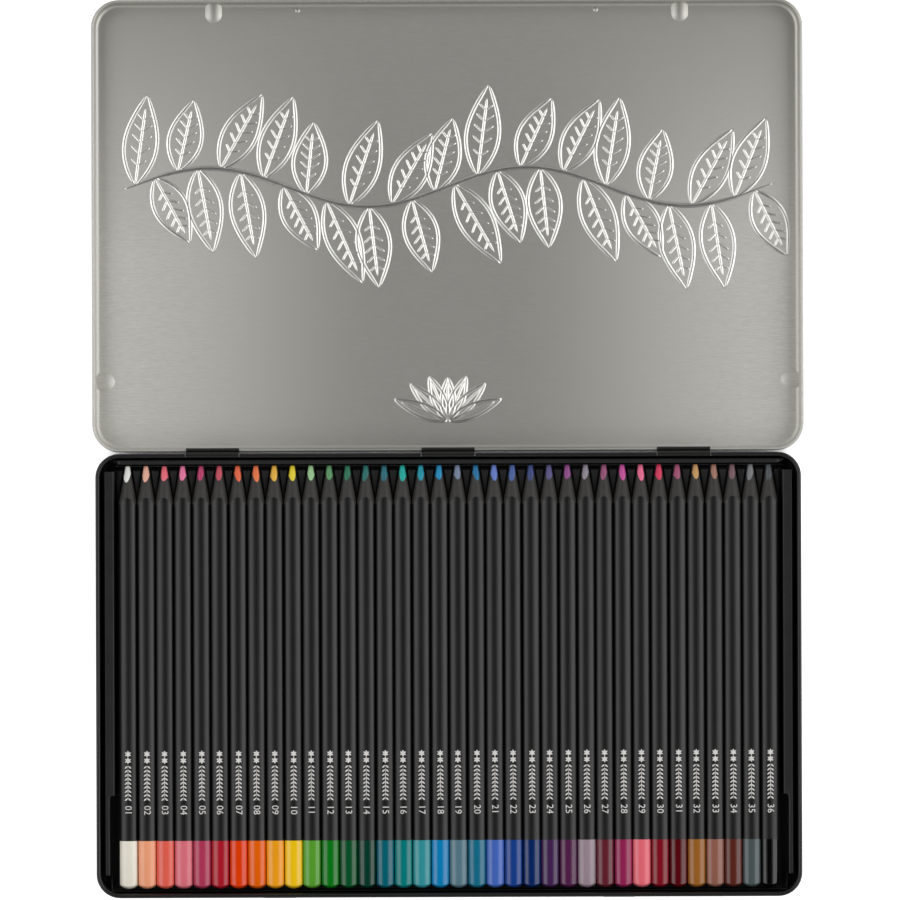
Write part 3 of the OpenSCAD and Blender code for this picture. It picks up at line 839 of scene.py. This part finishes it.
    def raise_tops(self, wide, y, z):
        """Raises the flanges at both ends of the row, the rear ledge, whose ends are drawn back,
        and the ledges beside the trough. wide is the distance from the middle."""
        front, rear = self.FLANGE_Y
        flange = (wide >= self.FLANGE_X) & (wide <= self.EDGE_X) & (y >= front) & (y <= rear)
        top = self.flat_top(wide, y, self.FLANGE_X, self.EDGE_X, front, rear)
        z = np.where(flange, np.maximum(z, top), z)
        back = self.BACK_Y + 1.5 * ramp(wide, self.REAR_X - 2.6, self.REAR_X) ** 2
        top = self.flat_top(y, -wide, back, self.REAR_Y, -self.REAR_X)
        z = np.where((y > back) & (wide < self.REAR_X), top, z)
        ledge = (wide > self.LEDGE_X) & (wide < self.EDGE_X + self.TOUCH)
        ledge &= (y > self.LEDGE_Y) & (y < front)
        top = self.flat_top(wide, y, self.LEDGE_X, self.EDGE_X, self.LEDGE_Y)
        z = np.where(ledge, top, z)
        # the recess between ledge and flange has a rounded corner
        corner = (wide > self.RECESS_X) & (wide < self.RECESS_END[0])
        corner &= (y > self.RECESS_Y) & (y < self.RECESS_END[1])
        corner &= np.hypot(wide - self.RECESS_X, y - self.RECESS_Y) > self.RECESS_R
        return np.where(corner, np.maximum(z, self.s.flange_z - 0.1), z)

    def drop_sides(self, wide, y, z):
        """Lowers the front part's sides, and the outline to the tray's foot."""
        low = (wide > self.FRONT_X - 0.45) & (wide < self.FRONT_X) & (y < self.LEDGE_Y)
        z = np.where(low, self.s.ridge_z, z)
        outline = (wide >= self.EDGE_X - self.TOUCH) | (y >= self.REAR_Y - self.TOUCH)
        return np.where(outline, self.s.foot_z, z)

    def inside(self, wide, y):
        """Whether a point is part of the tray, which is narrower at the front and the rear."""
        rear = y > self.FLANGE_Y[1] - self.TOUCH
        side = np.where(y >= self.LEDGE_Y, self.EDGE_X + self.TOUCH, self.FRONT_X)
        return wide <= np.where(rear, self.REAR_X + self.TOUCH, side)

    def build(self, material):
        """The tray: the upper face's grid, with the sheet's thickness laid under it."""
        x, y = self.plan()
        wide = np.abs(x)
        z = self.raise_tops(wide, y, self.row_height(x, y))
        z = self.drop_sides(wide, y, z)
        inside = self.inside(wide, y)
        index = np.arange(x.size).reshape(x.shape)
        quads = np.stack([index[:-1, :-1], index[:-1, 1:], index[1:, 1:], index[1:, :-1]], -1)
        kept = inside[:-1, :-1] & inside[:-1, 1:] & inside[1:, 1:] & inside[1:, :-1]
        used, inverse = np.unique(quads[kept], return_inverse=True)
        points = np.stack([x, y, z], -1).reshape(-1, 3)[used]
        piece = make_object("formed_tray", points, inverse.reshape(-1, 4).tolist(), [material])
        wall = piece.modifiers.new("sheet", "SOLIDIFY")
        wall.thickness = self.s.sheet * MM
        wall.offset = -1.0
        wall.use_even_offset = False
        return piece

    def vent_pips(self, material):
        """The row of small pips that the mould's vent holes leave along the low rib behind the
        points: spheres of radius 0.38, cut off below."""
        radius, step, cut = 0.38, self.pitch / 4, -0.35
        x = np.arange(-self.side + step / 2, self.side, step)
        turn = np.linspace(0, 2 * pi, 10, endpoint=False)
        rise = np.array([cut, 0.0, 0.35, 0.7])[:, None]
        ring = np.sqrt(1 - rise**2)
        unit = np.stack([ring * np.cos(turn), ring * np.sin(turn), rise + 0 * turn], -1)
        unit = np.vstack([[0, 0, cut], unit.reshape(-1, 3), [0, 0, 1]]) * radius
        faces = tube_faces(len(rise), len(turn))
        places = ([place, self.RIB_Y, self.RIB_Z + 0.15] for place in x)
        points, faces = joined((unit + place, faces) for place in places)
        return make_object("vent_pips", points, outward(points, faces), [material])


# -------- lid relief


def stroke(path, width, height, base_z):
    """A pressed line along a path. Its section is a raised cosine, height * (1 + cos(pi u)) / 2,
    over a foot just inside the sheet, and its width shrinks to nothing at both ends."""
    foot_u, foot_z, end_z = [0.9, -0.9], -0.12, -0.06
    along = np.linspace(0, 1, len(path))
    heading = np.gradient(path, axis=0)
    heading /= np.linalg.norm(heading, axis=1, keepdims=True)
    normal = np.column_stack([-heading[:, 1], heading[:, 0]])
    end = np.sqrt(np.clip(np.minimum(along, 1 - along) * 8, 0.02, 1))[:, None]
    u = np.linspace(-1, 1, 9)
    rise = np.concatenate([height * (1 + np.cos(pi * u)) / 2, [foot_z, foot_z]])
    u = np.concatenate([u, foot_u])
    across = u[None] * width / 2 * end
    x = path[:, :1] + normal[:, :1] * across
    y = path[:, 1:] + normal[:, 1:] * across
    z = base_z + rise[None] * np.where(rise > 0, end, 1)
    rings = np.stack([x, y, z], -1)
    first, last = (np.append(path[k], base_z + end_z) for k in (0, -1))
    return np.vstack([first, rings.reshape(-1, 3), last]), tube_faces(len(path), len(u))


def leaf_paths(base, direction, long, wide, veins=0):
    """A leaf's lines, each with its scale: two sides that bow out by wide * sin(pi t) / 2, a midrib
    and slanted veins. t is raised to 0.85, so that the leaf is widest a little below its middle."""
    c, s = cos(direction), sin(direction)

    def laid(along, across):
        return np.column_stack([base[0] + along * c - across * s, base[1] + along * s + across * c])

    t = np.linspace(0, 1, 22)
    bow = wide / 2 * np.sin(pi * t**0.85)
    paths = [(laid(t * long, bow), 1.0), (laid(t * long, -bow), 1.0)]
    paths.append((laid(t * long * 0.86, 0 * t), 0.75))
    v = np.linspace(0, 1, 8)
    for at in 0.22 + 0.5 * np.arange(veins) / max(1, veins - 1):
        reach = wide / 2 * sin(pi * at**0.85) * 0.62
        for side in (1, -1):
            paths.append((laid(at * long + v * reach * 0.8, side * v * reach), 0.6))
    return paths


def spray_paths():
    """The lid's design: a waving stem with upright leaves on both sides, and a small fan of leaves
    below. The leaves' turns and lengths vary a little, as waves of their number."""
    middle, swing, wave = 200.0, 8.0, 131.0
    x = np.linspace(-133, 134, 170)
    paths = [(np.column_stack([x, middle + swing * np.sin(2 * pi * x / wave)]), 1.2)]
    shift = 4.1  # the upper leaves stand this much left of the row, the lower ones right
    for side in (1, -1):
        for k, at in enumerate(np.linspace(-124, 122, 15) - side * shift):
            y = middle + swing * sin(2 * pi * at / wave)
            turn = side * radians(72 + 12 * sin(1.7 * k + side))
            paths += leaf_paths((at, y), turn, 34 + 4 * sin(2.3 * k + 2 * side), 13.5, veins=5)
    spread = 68
    for turn in np.linspace(-spread, spread, 7):
        paths += leaf_paths((0, 104), radians(90 - turn), 18 + 6 * abs(turn) / spread, 5.5)
    return paths


# -------- operators


def finish_node(name, material):
    """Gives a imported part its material."""
    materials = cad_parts[name].data.materials
    materials.clear()
    materials.append(material)


class PENCILTIN_OT_base(bpy.types.Operator):
    """Finishes the base tin in black lacquer"""

    bl_idname = "pencil_tin.base"
    bl_label = "Finish Base Tin"

    def execute(self, context):
        finish_node("base_tin", stoved_lacquer())
        return {"FINISHED"}


class PENCILTIN_OT_lid(bpy.types.Operator):
    """Finishes the lid in brushed tinplate and presses the leaves into it"""

    bl_idname = "pencil_tin.lid"
    bl_label = "Finish Lid"

    def execute(self, context):
        s = in_mm(context.scene.pencil_tin.lid)
        finish_node("lid", brushed_tinplate())
        points, faces = joined(
            stroke(path, s.line_w * scale, s.relief * scale**0.5, s.panel_z)
            for path, scale in spray_paths()
        )
        faces = outward(points, faces)
        piece = make_object("pressed_leaves", points, faces, [pressed_tinplate()])
        hand_over(piece, "lid", "bare_tinplate")
        return {"FINISHED"}


class PENCILTIN_OT_tray(bpy.types.Operator):
    """Makes the formed tray with its grooves, ridges and flanges"""

    bl_idname = "pencil_tin.tray"
    bl_label = "Make Tray"

    def execute(self, context):
        settings = context.scene.pencil_tin
        p = in_mm(settings.pencils)
        plastic = formed_plastic()
        form = TrayForm(settings.tray, p.count, p.pitch)
        hand_over(form.build(plastic), "insert", "tray_plastic", "insert_tray")
        hand_over(form.vent_pips(plastic), "insert", "tray_plastic")
        return {"FINISHED"}


class PENCILTIN_OT_pencils(bpy.types.Operator):
    """Makes the row of pencils: barrels, leads, dips and foil marks"""

    bl_idname = "pencil_tin.pencils"
    bl_label = "Make Pencils"

    def execute(self, context):
        settings = context.scene.pencil_tin.pencils
        wood = [barrel_lacquer(), dyed_wood()]
        foil = stamping_foil()
        for number, (shade, dip, lead) in enumerate(SHADES[: settings.count], 1):
            pencil = Pencil(settings, number)
            node = pencil.node_name(number)
            hand_over(make_barrel(pencil, wood), node, shade, node)
            hand_over(make_lead(pencil, wax_lead(shade, linear(lead))), node, shade)
            hand_over(make_dip(pencil, dip_enamel(shade, linear(dip))), node, shade)
            hand_over(make_foil(pencil, foil), node, shade)
        return {"FINISHED"}


def soft_box(name, near, far, radiance):
    """A large soft box far beside the tin. near and far are the slopes of its edges as the tin
    sees them, in metres aside for each metre up."""
    distance = 3.0
    height = [distance / sqrt(1 + slope**2) for slope in (near, far)]
    side = [slope * up for slope, up in zip((near, far), height)]
    run, drop = side[1] - side[0], height[0] - height[1]
    lamp = bpy.data.lights.new(name, "AREA")
    lamp.shape = "RECTANGLE"
    lamp.size, lamp.size_y = sqrt(run**2 + drop**2), 4.0
    lamp.energy = radiance * pi * lamp.size * lamp.size_y
    holder = new_object(name, lamp)
    holder.location = (sum(side) / 2, 0.0, sum(height) / 2)
    holder.rotation_euler = (0, atan(drop / run), 0)
    holder.visible_camera = False


def level_plane(name, x, y, z, material):
    """A level rectangle between two places along X and along Y, in metres. It faces up, or down
    where x goes from right to left."""
    points = np.array([[x[0], y[0], z], [x[1], y[0], z], [x[1], y[1], z], [x[0], y[1], z]])
    return make_object(name, points / MM, [[0, 1, 2, 3]], [material])


def paper_floor(colour):
    """Matt paper floor that the camera sees as white. Its glow fades close under the tin."""
    material, tree, shader = surface_material("paper_floor", Roughness=0.9)
    shader.inputs["Base Color"].default_value = (*colour, 1.0)
    shader.inputs["Emission Color"].default_value = (1, 1, 1, 1)
    ray = add(tree, "LightPath").outputs["Is Camera Ray"]
    sky = add(tree, "AmbientOcclusion", {"Distance": 8 * MM}, samples=8).outputs["AO"]
    glow = maths(tree, "MULTIPLY", ray, mapped(tree, sky, 0.3, 0.5, high=0.8))
    tree.links.new(glow, shader.inputs["Emission Strength"])
    return material


def studio_world(fill):
    """Even white light of a strength, on a background that the camera sees as full white."""
    world = bpy.data.worlds.new("studio")
    world.use_nodes = True
    tree = world.node_tree
    ray = add(tree, "LightPath").outputs["Is Camera Ray"]
    back = tree.nodes["Background"]
    back.inputs["Color"].default_value = (1, 1, 1, 1)
    tree.links.new(between(tree, ray, fill, 1.0, "FLOAT"), back.inputs["Strength"])
    return world


class PENCILTIN_OT_stage(bpy.types.Operator):
    """Sets up the camera, the floor, the soft boxes and the even light"""

    bl_idname = "pencil_tin.stage"
    bl_label = "Set Stage"

    def execute(self, context):
        scene = context.scene
        s = scene.pencil_tin.stage
        scene.view_settings.view_transform = "Standard"
        camera = bpy.data.cameras.new("camera")
        camera.sensor_width = 36.0
        camera.lens = camera.sensor_width * s.camera_height / s.view_width
        camera.clip_end = 100
        scene.camera = new_object("camera", camera)
        scene.camera.location = (VIEW_X * MM, VIEW_Y * MM, RIM_Z * MM + s.camera_height)
        scene.camera.rotation_euler = (0, 0, VIEW_TURN)

        soft_box("soft_box_left", -0.60, -1.9, s.soft_box * 0.94)
        soft_box("soft_box_right", 0.61, 3.2, s.soft_box * 1.03)

        # A black card over the camera keeps the middle of every upward face dark.
        black = surface_material("black_card", Base_Color=linear("#0c0c0c"), Roughness=1.0)[0]
        card = level_plane("black_card", (1, -1), (-2, 2.2), 2.8, black)
        card.visible_camera = False
        floor = level_plane("floor", (-6, 6), (-6, 6), -2e-4, paper_floor(s.floor))
        scene.world = studio_world(s.daylight)
        return {"FINISHED"}


class PENCILTIN_PT_panel(bpy.types.Panel):
    """Lists the steps that build the tin"""

    bl_idname = "PENCILTIN_PT_panel"
    bl_label = "Pencil Tin"
    bl_space_type = "VIEW_3D"
    bl_region_type = "UI"
    bl_category = "Pencil Tin"

    def draw(self, context):
        layout = self.layout
        settings = context.scene.pencil_tin
        for name in ("pencils", "tray", "lid", "stage"):
            box = layout.box()
            box.label(text=name.title())
            group = getattr(settings, name)
            for key in group.__annotations__:
                box.prop(group, key)
        for operator in OPERATORS:
            layout.operator(operator.bl_idname)


PARTS = (PENCILTIN_OT_base, PENCILTIN_OT_lid, PENCILTIN_OT_tray, PENCILTIN_OT_pencils)
OPERATORS = (PENCILTIN_OT_stage, *PARTS)
SETTINGS = (PencilSettings, TraySettings, LidSettings, StageSettings, TinSettings)
CLASSES = (*SETTINGS, *OPERATORS, PENCILTIN_PT_panel)


def register():
    for cls in CLASSES:
        bpy.utils.register_class(cls)
    bpy.types.Scene.pencil_tin = PointerProperty(
        type=TinSettings, name="Pencil tin", description="Sizes and finishes of the pencil tin"
    )


def unregister():
    del bpy.types.Scene.pencil_tin
    for cls in reversed(CLASSES):
        bpy.utils.unregister_class(cls)


def main():
    register()
    bpy.ops.pencil_tin.stage()
    bpy.ops.pencil_tin.base()
    bpy.ops.pencil_tin.lid()
    bpy.ops.pencil_tin.tray()
    bpy.ops.pencil_tin.pencils()


if __name__ == "__main__":
    main()
